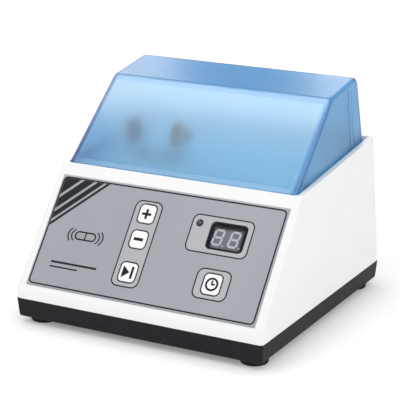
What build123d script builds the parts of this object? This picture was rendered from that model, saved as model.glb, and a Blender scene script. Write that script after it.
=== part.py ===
from build123d import *
import os
import math

# Capsule mixer for dental filling material.
# Frame: X to the right of the user, Y to the rear, Z up, millimetres.
# Origin: centre of the footprint, on the surface that the feet stand on.

# ---------------------------------------------------------------- driving sizes
BODY_W = 200.0          # width of tray and housing at their joint
BODY_D = 204.0          # depth at the same height
FOOT_H = 4.5            # height of the rubber feet
TRAY_TOP = 19.2         # joint between black tray and white housing
REAR_REF = (102.0, 20.0)    # (y, z) a point of the rear wall's outer face, near its foot
SKIRT_TOP = 27.0        # top of the short vertical front skirt
FACE_TOP = (-39.0, 107.0)   # (y, z) upper end of the sloped front face
REAR_TOP = (90.0, 121.0)    # (y, z) top of the rear wall
TOP_HALF_W = 98.4       # half width of the housing at the upper end of the face
WALL = 2.6              # housing wall
HINGE_Y, HINGE_Z = 84.5, 118.0   # lid axis
KNUCKLE_R = 2.7
LID_WALL = 2.9
ARM_X, ARM_Y, ARM_Z = -44.8, 10.0, 60.0   # centre of the swash hub
SEAT_Z = 124.0          # height of the capsule axis
ARM_ROCK = 7.0          # degrees each way
KEY_TRAVEL = 0.5
SHAFT_R = 4.0
BALL_R = 11.0

os.makedirs("parts", exist_ok=True)


# ---------------------------------------------------------------- helpers
def box(x0, x1, y0, y1, z0, z1):
    return Pos((x0 + x1) / 2, (y0 + y1) / 2, (z0 + z1) / 2) * Box(x1 - x0, y1 - y0, z1 - z0)


def cx(r, x0, x1, y, z):
    return Pos((x0 + x1) / 2, y, z) * Rot(0, 90, 0) * Cylinder(r, x1 - x0)


def cy(r, y0, y1, x, z):
    return Pos(x, (y0 + y1) / 2, z) * Rot(90, 0, 0) * Cylinder(r, y1 - y0)


def cz(r, z0, z1, x, y):
    return Pos(x, y, (z0 + z1) / 2) * Cylinder(r, z1 - z0)


def prism_x(pts, x0, x1):
    """A (y, z) outline carried along X from x0 to x1."""
    f = make_face(Polyline(*[(x0, p[0], p[1]) for p in pts], close=True))
    return extrude(f, amount=x1 - x0, dir=(1, 0, 0))


def prism_y(pts, y0, y1):
    f = make_face(Polyline(*[(p[0], y0, p[1]) for p in pts], close=True))
    return extrude(f, amount=y1 - y0, dir=(0, 1, 0))


def inset(pts, dists):
    """Move each edge of an anticlockwise (y, z) outline inwards."""
    n = len(pts)
    lines = []
    for i in range(n):
        (ax, ay), (bx, by) = pts[i], pts[(i + 1) % n]
        l = math.hypot(bx - ax, by - ay)
        nx, ny = -(by - ay) / l, (bx - ax) / l
        lines.append(((ax + nx * dists[i], ay + ny * dists[i]), (bx - ax, by - ay)))
    out = []
    for i in range(n):
        (px, py), (dx, dy) = lines[i - 1]
        (qx, qy), (ex, ey) = lines[i]
        den = dx * ey - dy * ex
        t = ((qx - px) * ey - (qy - py) * ex) / den
        out.append((px + dx * t, py + dy * t))
    return out


def rim(y):
    """Height of the sloping top edge of the side walls."""
    return FACE_TOP[1] + (y - FACE_TOP[0]) * (REAR_TOP[1] - FACE_TOP[1]) / (REAR_TOP[0] - FACE_TOP[0])


def try_fillet(shape, edges, radii):
    for r in radii:
        try:
            s = fillet(edges, r)
            if s.is_valid and len(s.solids()) == len(shape.solids()):
                return s
        except Exception:
            pass
    print("fillet left out on", len(edges), "edges")
    return shape


def group(items):
    solids = []
    for i in items:
        solids += list(i.solids())
    return Compound(children=solids) if len(solids) > 1 else solids[0]


NODES = {}


def put(name, shape):
    NODES[name] = shape


# sloped front face: local x = X, local y = up the slope, local z = outward
f_len = math.hypot(FACE_TOP[0] + BODY_D / 2, FACE_TOP[1] - SKIRT_TOP)
SY, SZ = (FACE_TOP[0] + BODY_D / 2) / f_len, (FACE_TOP[1] - SKIRT_TOP) / f_len
FACE = Plane(origin=(0, -BODY_D / 2, SKIRT_TOP), x_dir=(1, 0, 0), z_dir=(0, -SZ, SY)).location

# rear wall: local x = to the left of the user, local y = up, local z = outward
r_len = math.hypot(REAR_REF[0] - REAR_TOP[0], REAR_TOP[1] - REAR_REF[1])
RZ, RY = (REAR_TOP[1] - REAR_REF[1]) / r_len, (REAR_REF[0] - REAR_TOP[0]) / r_len
REAR = Plane(origin=(0, REAR_REF[0], REAR_REF[1]), x_dir=(-1, 0, 0), z_dir=(0, RZ, RY)).location


def fslab(sketch, n0, n1):
    """A flat outline in the front face's own frame, from depth n0 to n1."""
    return FACE * Pos(0, 0, n0) * extrude(sketch, n1 - n0)


def fbox(x0, x1, s0, s1, n0, n1):
    return FACE * box(x0, x1, s0, s1, n0, n1)


def fcyl(r, x, s, n0, n1):
    return FACE * cz(r, n0, n1, x, s)


def rbox(x0, x1, u0, u1, n0, n1):
    return REAR * box(x0, x1, u0, u1, n0, n1)


def rslab(sketch, n0, n1):
    return REAR * Pos(0, 0, n0) * extrude(sketch, n1 - n0)


def rrect(x0, x1, s0, s1, r):
    return Pos((x0 + x1) / 2, (s0 + s1) / 2) * RectangleRounded(x1 - x0, s1 - s0, r)


# ---------------------------------------------------------------- key panel layout (x, up the slope)
KEYS = {                       # name: (x, s, width, height)
    "key_plus": (-14.5, 71.5, 12.5, 13.6),
    "key_minus": (-14.6, 51.6, 12.4, 12.9),
    "key_start": (-14.4, 26.4, 13.0, 14.1),
    "key_mode": (52.0, 28.7, 13.3, 14.7),
}
KEY_R = 3.0
KEY_GAP = 0.3
LENS = (37.9, 66.3, 53.8, 74.1)          # display window
MODULE = (39.6, 64.6, 54.3, 73.3)        # two-digit display block
LED_X, LED_S = 28.4, 71.4
PANEL = (-92.5, 92.5, 4.0, 92.0)
FEET = [(-86, -86), (86, -86), (-86, 86), (86, 86)]

# ================================================================= housing shell
rear_low = (REAR_REF[0] + (REAR_REF[1] - TRAY_TOP) * RY / RZ, TRAY_TOP)
outer = [(-BODY_D / 2, TRAY_TOP), rear_low, REAR_TOP, FACE_TOP, (-BODY_D / 2, SKIRT_TOP)]


def side_cut(half_bottom, half_top, z_bottom, z_top, y0=-120, y1=120):
    return prism_y([(-half_bottom, z_bottom), (half_bottom, z_bottom), (half_top, z_top), (-half_top, z_top)], y0, y1)


draft = (BODY_W / 2 - TOP_HALF_W) / (FACE_TOP[1] - TRAY_TOP)


def half(z):
    return BODY_W / 2 - draft * (z - TRAY_TOP)


shell = prism_x(outer, -105, 105) & side_cut(half(10), half(130), 10, 130)
# soft edge where the skirt turns into the sloped face
e = [x for x in shell.edges() if abs(x.center().Y + BODY_D / 2) < 0.2 and abs(x.center().Z - SKIRT_TOP) < 0.2]
shell = try_fillet(shell, e, [6, 4, 2])
# the side edges of front and rear
e = [x for x in shell.edges() if abs(abs(x.center().X) - 99) < 2.5 and x.length > 1.0 and
     abs(x.center().Z - TRAY_TOP) > 0.5 and
     not (abs(x.center().Z - rim(x.center().Y)) < 0.5 and x.length > 100)]
shell = try_fillet(shell, e, [3.0, 2.5, 2.0])

inner = inset(outer, [-2, WALL, 8.5, WALL, WALL])
cavity = prism_x(inner, -105, 105) & side_cut(half(10) - WALL, half(130) - WALL, 10, 130)
ledge_open = prism_x([(-34.5, 90), (95, 90), (95, 130), (-34.5, 130)], -89.5, 89.5) & prism_x(
    inset([(-100, 60), (BODY_D / 2 - RY * 40 / RZ, 60), (90 - RY * 9 / RZ, 130), (-100, 130)], [0, WALL, 0, 0]), -105, 105)
well = prism_x([(-37.9, rim(-37.9) - 6), (87.75, rim(87.75) - 6), (87.0, 140), (-37.9, 140)], -93.9, 93.9)
e = [x for x in well.edges() if abs(x.center().Y + 37.9) < 0.1 and abs(abs(x.center().X) - 93.9) < 0.1]
well = try_fillet(well, e, [3.8])
shell = shell - cavity - ledge_open - well

# bosses under the ledge for the deck screws
DECK_SCREWS = [(-86.8, -12), (86.8, -12), (-86.8, 45), (86.8, 45)]
bosses = []
for x, y in DECK_SCREWS:
    sgn = 1 if x > 0 else -1
    z1 = rim(y) - 6
    b = cz(3.4, z1 - 12, z1 + 6, x, y) + box(min(x, sgn * 97), max(x, sgn * 97), y - 1.2, y + 1.2, z1 - 12, z1 + 6)
    b = b & prism_x([(-60, rim(-60) - 40), (90, rim(90) - 40), (90, rim(90) - 6), (-60, rim(-60) - 6)], -98, 98)
    bosses.append(b)
for b in bosses:
    shell = shell + b
# posts for the base screws, trimmed by the outer form
env = prism_x(outer, -105, 105) & side_cut(half(10) - 1, half(130) - 1, 10, 130)
for x, y in FEET:
    top = 60.0 if y > 0 else 110.0
    sgn = 1 if x > 0 else -1
    p = cz(4.5, 12.5, top, x, y)
    if y > 0:
        p = p + box(min(x, sgn * 98.5), max(x, sgn * 98.5), y - 1.1, y + 1.1, 24.0, top)
        p = p + box(x - 1.1, x + 1.1, y, 100.0, 24.0, top)
    low = p & box(-110, 110, -110, 110, 0, 20.0)
    high = p & env & box(-110, 110, -110, 110, 20.0, 130)
    shell = shell + high + low
for x, y in DECK_SCREWS:
    shell = shell - cz(1.3, rim(y) - 16, rim(y), x, y)
for x, y in FEET:
    shell = shell - cz(1.5, 10, 32, x, y)

# recess for the overlay, key wells, display and lamp openings
shell = shell - fslab(rrect(PANEL[0] - 0.3, PANEL[1] + 0.3, PANEL[2] - 0.3, PANEL[3] + 0.3, 0.6), -0.4, 5)
for k, (x, s, w, h) in KEYS.items():
    shell = shell - fslab(rrect(x - w / 2 - 0.35, x + w / 2 + 0.35, s - h / 2 - 0.35, s + h / 2 + 0.35, KEY_R + 0.35), -1.7, 5)
    shell = shell - fcyl(3.6, x, s, -5, 5)
shell = shell - fbox(MODULE[0] - 0.3, MODULE[1] + 0.3, MODULE[2] - 0.3, MODULE[3] + 0.3, -6, 5)
shell = shell - fslab(rrect(LENS[0] - 0.2, LENS[1] + 0.2, LENS[2] - 0.2, LENS[3] + 0.2, 3.4), -0.9, 5)
shell = shell - fcyl(2.1, LED_X, LED_S, -6, 5)
# standoffs for the control board
STAND = [(-32, 14), (72, 14), (-32, 80), (74.5, 80)]
for x, s in STAND:
    shell = shell + fcyl(3.0, x, s, -8.0, -WALL + 0.2)
    shell = shell - fcyl(1.1, x, s, -8.5, -2.2)
# rear openings: inlet, rocker, cooling louvres
INLET = (-62.0, 40.0)       # centre in the rear wall's frame (local x is to the user's left)
ROCK = (-22.0, 40.0)
shell = shell - rbox(INLET[0] - 14.0, INLET[0] + 14.0, INLET[1] - 17.0, INLET[1] + 17.0, -6, 6)
shell = shell - rbox(ROCK[0] - 6.7, ROCK[0] + 6.7, ROCK[1] - 9.9, ROCK[1] + 9.9, -6, 6)
for i in range(9):
    u = 26.0 + i * 5.4
    shell = shell - rslab(rrect(14.0, 78.0, u, u + 2.4, 1.15), -6, 6)
# small shadow edge at the joint with the tray
e = [x for x in shell.edges() if abs(x.center().Z - TRAY_TOP) < 0.05 and
     (abs(abs(x.center().Y) - BODY_D / 2) < 2.2 or abs(abs(x.center().X) - BODY_W / 2) < 2.2)]
try:
    s2 = chamfer(e, 0.4)
    if s2.is_valid:
        shell = s2
except Exception:
    print("tray joint edge left sharp")
# rounded rim of the side walls
e = [x for x in shell.edges() if x.length > 90 and abs(x.center().Z - rim(x.center().Y)) < 0.4 and abs(x.center().X) > 92]
shell = try_fillet(shell, e, [1.4, 1.0, 0.6])
put("housing_shell", shell)

# ================================================================= base tray
taper = math.degrees(math.atan(1.6 / (TRAY_TOP - FOOT_H)))
tray = extrude(Plane(origin=(0, 0, TRAY_TOP), x_dir=(1, 0, 0), z_dir=(0, 0, -1)) * RectangleRounded(BODY_W, BODY_D, 2.2),
               amount=TRAY_TOP - FOOT_H, taper=taper)
e = [x for x in tray.edges() if abs(x.center().Z - FOOT_H) < 0.05]
tray = try_fillet(tray, e, [2.4, 2.0, 1.5, 1.0])
tray = tray - Pos(0, 0, 7.2) * extrude(RectangleRounded(BODY_W - 7.0, BODY_D - 7.0, 3.0), 20)
# locating lip that stands inside the housing wall
lip = extrude(Pos(0, 0, 17.0) * RectangleRounded(BODY_W - 5.9, BODY_D - 6.8, 2.6), 6.0)
lip = lip - extrude(Pos(0, 0, 16.0) * RectangleRounded(BODY_W - 9.0, BODY_D - 9.9, 2.0), 8.0)
lip = lip - box(-98, 98, -110, -96.5, TRAY_TOP, 26)
tray = tray + lip
for x, y in FEET:
    tray = tray + (cz(4.8, 6.0, 12.5, x, y))
    tray = tray - cz(1.9, 0, 14, x, y)
# cooling slots in the floor under the motor
for i in range(7):
    x = -8 + i * 8.0
    tray = tray - Pos(x, 10, 0) * extrude(SlotOverall(40, 3.0, rotation=90), 10)
# pads for the four isolators
ISO = [(-14, -14), (38, -14), (-14, 34), (38, 34)]
for x, y in ISO:
    tray = tray - cz(4.5, 6.9, 8.0, x, y)
for x in (62, 88):
    for y in (-58, 52):
        tray = tray + cz(3.0, 7.0, 13.0, x, y) + cz(1.5, 12.0, 16.0, x, y)
put("base_tray", tray)

foot = cz(10.0, 0, FOOT_H, 0, 0)
foot = fillet(foot.edges().group_by(Axis.Z)[0], 1.2)
foot = foot - cz(3.6, -1, 2.6, 0, 0) - cz(1.9, 0, 6, 0, 0)
put("rubber_feet", group([Pos(x, y, 0) * foot for x, y in FEET]))
scr = cz(3.2, 1.0, 2.6, 0, 0) + cz(1.45, 2.0, 26.0, 0, 0) - box(-2.2, 2.2, -0.35, 0.35, 0.9, 1.6) - box(-0.35, 0.35, -2.2, 2.2, 0.9, 1.6)
put("base_screws", group([Pos(x, y, 0) * scr for x, y in FEET]))

# ================================================================= deck of the mixing chamber
YF, YR = -37.4, 87.3


def slope_plate(y0, y1, d_top, d_bot, x0, x1):
    """Plate that follows the rim line, between two depths below it."""
    return prism_x([(y0, rim(y0) - d_bot), (y1, rim(y1) - d_bot), (y1, rim(y1) - d_top), (y0, rim(y0) - d_top)], x0, x1)


deck = slope_plate(YF, YR, 4.0, 6.0, -93.4, 93.4)
e = [x for x in deck.edges() if abs(x.center().Y - YF) < 0.1 and abs(abs(x.center().X) - 93.4) < 0.1]
deck = try_fillet(deck, e, [4.2])
tray_in = prism_x([(-31, rim(-31) - 9), (74, rim(74) - 9), (74, rim(74)), (-31, rim(-31))], -81, 81)
e = [x for x in tray_in.edges() if abs(abs(x.center().X) - 81) < 0.1 and abs(x.length - 9) < 1.5]
tray_in = try_fillet(tray_in, e, [6, 4])
tray_out = prism_x([(-33, rim(-33) - 11), (76, rim(76) - 11), (76, rim(76) - 5), (-33, rim(-33) - 5)], -83, 83)
e = [x for x in tray_out.edges() if abs(abs(x.center().X) - 83) < 0.1 and abs(x.length - 6) < 1.5]
tray_out = try_fillet(tray_out, e, [8, 5])
deck = deck + tray_out - tray_in
HX0, HX1 = 47.0, 73.0
for sgn in (-1, 1):
    a, b = sorted((sgn * HX0, sgn * HX1))
    trough = box(a, b, 77.0, 87.2, 110.4, 116.5) - box(a + 2, b - 2, 79.2, 90, 112.6, 140)
    trough = trough & prism_x([(70, 100), (87.3, 100), (87.3, rim(87.3) - 4), (70, rim(70) - 4)], -80, 80)
    deck = deck - box(a + 2, b - 2, 79.2, 90, 112.6, 140) + trough
for sgn in (-1, 1):
    for a, b in ((50.0, 54.5), (65.5, 70.0)):
        x0, x1 = sorted((sgn * a, sgn * b))
        k = cx(KNUCKLE_R, x0, x1, HINGE_Y, HINGE_Z) + box(x0, x1, HINGE_Y - KNUCKLE_R, HINGE_Y + KNUCKLE_R, 111.5, HINGE_Z)
        deck = deck + k
    deck = deck - cx(1.26, *sorted((sgn * 49, sgn * 71)), HINGE_Y, HINGE_Z)
SLOT = (ARM_X - 13.0, ARM_X + 13.0, ARM_Y - 7.0, ARM_Y + 7.0)
deck = deck - box(SLOT[0], SLOT[1], SLOT[2], SLOT[3], 90, 130)
for x, y in DECK_SCREWS:
    deck = deck - cz(1.7, 90, 130, x, y)
PLUG = (8.6, 11.0)
deck = deck - cz(5.0, 90, 130, *PLUG)
# holder under the deck for the reed switch
deck = deck + box(74.0, 80.9, 56.0, 72.0, rim(60) - 13.5, rim(60) - 10.0)
deck = deck - cy(1.35, 50, 80, 77.5, rim(60) - 12.2)
put("chamber_deck", deck)

bez = slope_plate(SLOT[2] - 4.0, SLOT[3] + 4.0, 7.6, 9.0, SLOT[0] - 4.0, SLOT[1] + 4.0)
bez = bez + slope_plate(SLOT[2] + 0.05, SLOT[3] - 0.05, 7.6, 11.6, SLOT[0] + 0.05, SLOT[1] - 0.05)
bez = bez - box(SLOT[0] + 1.3, SLOT[1] - 1.3, SLOT[2] + 1.3, SLOT[3] - 1.3, 90, 130)
put("slot_bezel", bez)
zp = rim(PLUG[1]) - 9
plug = cz(6.4, zp + 0.7, zp + 2.0, *PLUG) + cz(4.95, zp - 3.5, zp + 1.5, *PLUG)
plug = fillet(plug.edges().group_by(Axis.Z)[-1], 0.8) - cz(3.0, zp + 1.4, zp + 4, *PLUG)
plug = plug - slope_plate(PLUG[1] - 8, PLUG[1] + 8, 9.0, 11.0, PLUG[0] - 8, PLUG[0] + 8) + cz(4.95, zp - 3.5, zp + 1.0, *PLUG)
put("deck_plug", plug)

ds = []
for x, y in DECK_SCREWS:
    z = rim(y) - 3.6
    ds.append(cz(2.7, z, z + 1.9, x, y) + cz(1.25, z - 11, z + 0.5, x, y) - cz(1.1, z + 0.9, z + 3, x, y))
put("hinge_pins", group([cx(1.25, -70.0, -50.0, HINGE_Y, HINGE_Z), cx(1.25, 50.0, 70.0, HINGE_Y, HINGE_Z)]))
put("reed_switch", cy(1.3, 57.5, 70.5, 77.5, rim(60) - 12.2))

# ================================================================= lid
LB = 3.7     # lid edge below the rim line
lid_hw = lambda z: 93.42 - (z - 107.0) * 0.046


def lid_form(t, r_v, r_f, r_b, drop=0.0):
    pf, pm, pt = -37.5, (24.6, 162.7), (72.4, 170.6)
    sl = 9.3 / 54.3              # how much the rear leans forward
    yb = 81.7
    pts = [(pf, rim(pf) - LB - drop), (yb, rim(yb) - LB - drop), pt, pm, (pf, 107.3)]
    if drop:
        # carry the rear line down to the lower edge
        dy = drop * sl
        pts[1] = (yb + dy, rim(yb) - LB - drop)
    pts = inset(pts, [0, t, t, t, t])
    s = prism_x(pts, -110, 110) & side_cut(lid_hw(80) - t, lid_hw(180) - t, 80, 180)
    ed = s.edges()

    def at(ec, p, tol=1.5):
        return math.hypot(ec.center().Y - p[0], ec.center().Z - p[1]) < tol

    s = try_fillet(s, [x for x in ed if at(x, pts[2]) and abs(x.center().X) < 20], [r_b, r_b * 0.7])
    # side edges of the front slope, the top and the rear, as one chain
    side = [x for x in s.edges() if abs(x.center().X) > 60 and x.length > 1 and x.center().Z > 101 and
            abs(x.center().Z - (rim(x.center().Y) - LB - drop)) > 1.0]
    s = try_fillet(s, side, r_v)
    s = try_fillet(s, [x for x in s.edges() if at(x, pts[3]) and abs(x.center().X) < 20], [r_f, r_f * 0.6])
    return s


lid_outer = lid_form(0.0, [2.8, 2.5], 5.5, 7.0)
lid_inner = lid_form(LID_WALL, [1.2, 1.0], 3.0, 4.2, drop=6.0)
lid = lid_outer - lid_inner
# raised lip along the front edge, for the fingers
fl = math.hypot(24.6 + 37.5, 162.7 - 107.3)
ly, lz = (24.6 + 37.5) / fl, (162.7 - 107.3) / fl
lip_y, lip_z, lip_h = -38.85, 107.38, 5.2
grip = prism_x([(-36.2, lip_z + 0.28), (lip_y, lip_z), (lip_y + lip_h * ly, lip_z + lip_h * lz),
                (lip_y + lip_h * ly + 1.8 * lz, lip_z + lip_h * lz - 1.8 * ly)], -90.4, 90.4)
e = [x for x in grip.edges() if x.length < 8 and abs(abs(x.center().X) - 90.4) < 0.1 and
     abs((x.center().Y - lip_y) * lz - (x.center().Z - lip_z) * ly) < 0.1]
grip = try_fillet(grip, e, [1.6, 1.2, 0.8])
e = [x for x in grip.edges() if x.length > 100 and (abs(x.center().Y - lip_y) < 0.1 or abs(x.center().Y - lip_y - lip_h * ly) < 0.1)]
grip = try_fillet(grip, e, [0.7, 0.5, 0.3])
lid = lid + (grip - lid_inner)
# inner ribs that stiffen the side walls
for sgn in (-1, 1):
    rib = prism_x([(58.6, 108), (63.1, 108), (60.0, 161), (54.4, 161)],
                  *sorted((sgn * 80.0, sgn * 95.0))) & lid_inner
    core = side_cut(lid_hw(80) - LID_WALL - 1.6, lid_hw(180) - LID_WALL - 1.6, 80, 180)
    rib = rib - core
    rib = rib & prism_x([(-50, rim(-50) - LB), (90, rim(90) - LB), (90, 175), (-50, 175)], -100, 100)
    lid = lid + rib
# two shallow grooves down each side wall, either side of the rib
groove = None
for (ya, za), (yb_, zb) in (((54.0, 163.9), (58.3, 108.0)), ((60.2, 161.5), (63.3, 108.0))):
    q = prism_x([(ya - 0.38, za), (ya + 0.38, za), (yb_ + 0.38, zb), (yb_ - 0.38, zb)], -110, 110)
    groove = q if groove is None else groove + q
groove = groove - side_cut(lid_hw(80) - 0.45, lid_hw(180) - 0.45, 80, 180)
lid = lid - groove
# hinge ears
for sgn in (-1, 1):
    a, b = sorted((sgn * 55.0, sgn * 65.0))
    ear = cx(KNUCKLE_R, a, b, HINGE_Y, HINGE_Z) + prism_x(
        [(78.4, 116.2), (81.5, 115.6), (HINGE_Y, HINGE_Z - KNUCKLE_R), (HINGE_Y, HINGE_Z + KNUCKLE_R), (78.4, HINGE_Z + KNUCKLE_R)], a, b)
    ear = ear - lid_inner
    lid = lid + ear
    lid = lid - cx(1.32, a - 1, b + 1, HINGE_Y, HINGE_Z)
# pocket boss for the magnet
MAG = (77.5, 72.5, rim(72.5) + 1.8)
mb = box(MAG[0] - 4.2, MAG[0] + 4.2, 70.0, 80.0, MAG[2] - 3.6, MAG[2] + 3.6) & lid_inner
lid = lid + mb - cy(2.55, 68, 75.0, MAG[0], MAG[2])
put("lid_shell", lid)
put("lid_magnet", cy(2.5, 71.0, 75.0, MAG[0], MAG[2]))
pads = []
for sgn in (-1, 1):
    for y in (-35.9, 70.0):
        if y < 0:
            pads.append(prism_x([(y - 1.3, rim(y - 1.3) - 4.0), (y + 1.0, rim(y + 1.0) - 4.0),
                                 (y + 1.0, rim(y + 1.0) - LB), (y - 1.3, rim(y - 1.3) - LB)], sgn * 70 - 6, sgn * 70 + 6))
        else:
            x0, x1 = sorted((sgn * 90.9, sgn * 92.6))
            pads.append(prism_x([(y - 6, rim(y - 6) - 4.0), (y + 6, rim(y + 6) - 4.0),
                                 (y + 6, rim(y + 6) - LB), (y - 6, rim(y - 6) - LB)], x0, x1))
put("lid_pads", group(pads))

# ================================================================= key panel
ov = rrect(PANEL[0], PANEL[1], PANEL[2], PANEL[3], 0.4)
holes = None
for k, (x, s, w, h) in KEYS.items():
    q = rrect(x - w / 2 - KEY_GAP, x + w / 2 + KEY_GAP, s - h / 2 - KEY_GAP, s + h / 2 + KEY_GAP, KEY_R + KEY_GAP)
    holes = q if holes is None else holes + q
holes = holes + rrect(LENS[0] - 0.1, LENS[1] + 0.1, LENS[2] - 0.1, LENS[3] + 0.1, 3.3) + Pos(LED_X, LED_S) * Circle(2.0)
film = Pos(0, 0, -0.4) * extrude(ov, 0.2) + Pos(0, 0, -0.2) * extrude(ov, 0.4, taper=math.degrees(math.atan(1.0 / 0.4)))
film = film - Pos(0, 0, -1) * extrude(holes, 3)
put("overlay_panel", FACE * film)
for k, (x, s, w, h) in KEYS.items():
    cap = extrude(RectangleRounded(w, h, KEY_R), 1.5)
    cap = fillet(cap.edges().group_by(Axis.Z)[-1], 0.35)
    cap = Pos(0, 0, -1.0) * cap
    stem = cz(3.0, -4.4, -0.8, 0, 0) + cz(1.6, -6.2, -4.0, 0, 0)
    put(k, FACE * Pos(x, s, 0) * (cap + stem))

put("display_window", fslab(rrect(LENS[0], LENS[1], LENS[2], LENS[3], 3.2), -0.8, 0.15))
put("display_module", fbox(MODULE[0], MODULE[1], MODULE[2], MODULE[3], -8.0, -1.5))

# seven-segment digits, sloped a little to the right
SL = math.tan(math.radians(6))


def seg_h(cx_, cy_, l, t):
    a = l / 2
    return [(cx_ - a, cy_), (cx_ - a + t / 2, cy_ + t / 2), (cx_ + a - t / 2, cy_ + t / 2), (cx_ + a, cy_),
            (cx_ + a - t / 2, cy_ - t / 2), (cx_ - a + t / 2, cy_ - t / 2)]


def seg_v(cx_, cy_, l, t):
    a = l / 2
    return [(cx_, cy_ - a), (cx_ + t / 2, cy_ - a + t / 2), (cx_ + t / 2, cy_ + a - t / 2), (cx_, cy_ + a),
            (cx_ - t / 2, cy_ + a - t / 2), (cx_ - t / 2, cy_ - a + t / 2)]


segs = []
DW, DH, DT = 6.4, 10.9, 1.6
for x0, s0 in ((45.0, 63.4), (57.6, 63.4)):
    polys = [seg_h(0, DH / 2, DW - 0.3, DT), seg_h(0, 0, DW - 0.3, DT), seg_h(0, -DH / 2, DW - 0.3, DT)]
    for sx in (-1, 1):
        for sy in (-1, 1):
            polys.append(seg_v(sx * DW / 2, sy * DH / 4, DH / 2 - 0.3, DT))
    for p in polys:
        pts = [(x0 + px + SL * py, s0 + py) for px, py in p]
        segs.append(FACE * Pos(0, 0, -1.5) * extrude(make_face(Polyline(*[(q[0], q[1], 0) for q in pts], close=True)), 0.35))
    segs.append(fcyl(0.6, x0 + 5.1, s0 - DH / 2 - 0.2, -1.5, -1.15))
put("digit_segments", group(segs))
led = cz(1.9, -8.0, -1.3, 0, 0) + Pos(0, 0, -1.3) * Sphere(1.89)
put("status_led", FACE * Pos(LED_X, LED_S, 0) * led)

board = fbox(-36, 78, 10, 84, -9.6, -8.0)
for x, s in STAND:
    board = board - fcyl(1.5, x, s, -12, -7)
put("control_board", board)
put("housing_screws", group(ds + [fcyl(2.6, x, s, -11.2, -9.6) + fcyl(1.05, x, s, -10, -4.0) for x, s in STAND]))
sw = []
for k, (x, s, w, h) in KEYS.items():
    sw.append(fbox(x - 3, x + 3, s - 3, s + 3, -8.0, -5.0) - fcyl(1.9, x, s, -7.2, -4))
put("key_switches", group(sw))
comp = [fbox(8, 22, 30, 44, -11.4, -9.6), fbox(30, 52, 24, 28, -14.0, -9.6), fbox(-20, -8, 56, 64, -11.0, -9.6),
        fbox(30, 36, 40, 50, -11.2, -9.6), fbox(42, 48, 40, 50, -11.2, -9.6)]
comp.append(FACE * (cz(6.0, -16.6, -9.6, 64, 62) - cz(1.0, -17, -14, 64, 62)))   # buzzer
put("board_chips", group(comp))

# ================================================================= motor
MY, MZ = ARM_Y, ARM_Z
can = cx(30, -16, 40, MY, MZ) - cx(28.5, -17, 41, MY, MZ)
can = can - cy(4.9, MY - 40, MY + 40, 30.0, MZ)
for i in range(6):
    a = math.radians(30 + 60 * i)
    can = can - (Pos(4, MY, MZ) * Rot(60 * i + 30, 0, 0) * Box(22, 8, 80) if i < 3 else cx(0.5, 60, 61, MY, MZ))
put("motor_can", can)
stack = cx(28.5, -11, 18, MY, MZ) - cx(19.0, -12, 19, MY, MZ)
for sgn in (-1, 1):
    stack = stack - (box(-12, 19, MY - 12, MY + 12, *sorted((MZ + sgn * 24.6, MZ + sgn * 20.6))))
put("field_stack", stack)
coils = []
for sgn in (-1, 1):
    z0, z1 = sorted((MZ + sgn * 20.8, MZ + sgn * 24.4))
    c = box(-14.8, 21.8, MY - 11.8, MY + 11.8, z0, z1)
    c = c - box(-11, 18, MY - 6, MY + 6, z0 - 1, z1 + 1)
    coils.append(c - cx(19.2, -20, 30, MY, MZ))
put("field_coils", group(coils))
bell_l = cx(30, -24, -16, MY, MZ) - cx(11.0, -23.5, -14, MY, MZ) - cx(6.0, -30, -10, MY, MZ) - cx(24.0, -19.0, -15, MY, MZ) + (
    cx(14.0, -23.9, -16.4, MY, MZ) - cx(11.0, -23.5, -14, MY, MZ) - cx(6.0, -30, -10, MY, MZ))
bell_r = cx(30, 40, 48, MY, MZ) - cx(11.0, 38, 47.5, MY, MZ) - cx(6.0, 30, 60, MY, MZ) - cx(24.0, 39, 43.0, MY, MZ) + (
    cx(14.0, 40.4, 47.9, MY, MZ) - cx(11.0, 38, 47.5, MY, MZ) - cx(6.0, 30, 60, MY, MZ))
MS = [(MY + sy * 16.5, MZ + sz * 16.5) for sy in (-1, 1) for sz in (-1, 1)]
for y, z in MS:
    bell_l = bell_l - cx(1.5, -30, -19.0, y, z)
    bell_r = bell_r - cx(1.5, 43.0, 60, y, z)
put("end_bells", group([bell_l, bell_r]))
put("motor_bearings", group([cx(10.99, -23.5, -16.5, MY, MZ) - cx(SHAFT_R + 0.03, -30, 0, MY, MZ),
                             cx(10.99, 40.5, 47.5, MY, MZ) - cx(SHAFT_R + 0.03, 30, 60, MY, MZ)]))
holders, brushes = [], []
for sgn in (-1, 1):
    y0, y1 = sorted((MY + sgn * 12.5, MY + sgn * 34.0))
    holders.append(cy(4.8, y0, y1, 30.0, MZ) - cy(3.2, *sorted((MY + sgn * 11, MY + sgn * 32.0)), 30.0, MZ))
    brushes.append(cy(3.1, *sorted((MY + sgn * 11.0, MY + sgn * 24.0)), 30.0, MZ) - cx(10.35, 20, 40, MY, MZ))
put("brush_holders", group(holders))
put("carbon_brushes", group(brushes))

core = cx(18.4, -11, 18, MY, MZ) - cx(SHAFT_R, -20, 30, MY, MZ)
for i in range(12):
    core = core - Pos(3.5, MY, MZ) * Rot(30 * i, 0, 0) * Pos(0, 0, 16.6) * Box(40, 1.6, 6)
put("armature_core", core)
put("armature_windings", group([cx(14.0, -15.6, -11, MY, MZ) - cx(SHAFT_R, -20, 30, MY, MZ),
                                cx(14.0, 18, 22.8, MY, MZ) - cx(SHAFT_R, 10, 30, MY, MZ)]))
com = cx(10.0, 24, 36, MY, MZ) - cx(SHAFT_R, 20, 40, MY, MZ)
put("commutator", com)
put("motor_shaft", cx(SHAFT_R, -58, 66, MY, MZ))
fan = cx(6.5, 55, 65, MY, MZ) + cx(24, 55, 56.4, MY, MZ)
for i in range(9):
    fan = fan + Pos(60, MY, MZ) * Rot(40 * i, 0, 0) * Pos(0, 0, 14.5) * Rot(0, 0, 12) * Box(8.6, 1.2, 18)
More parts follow.
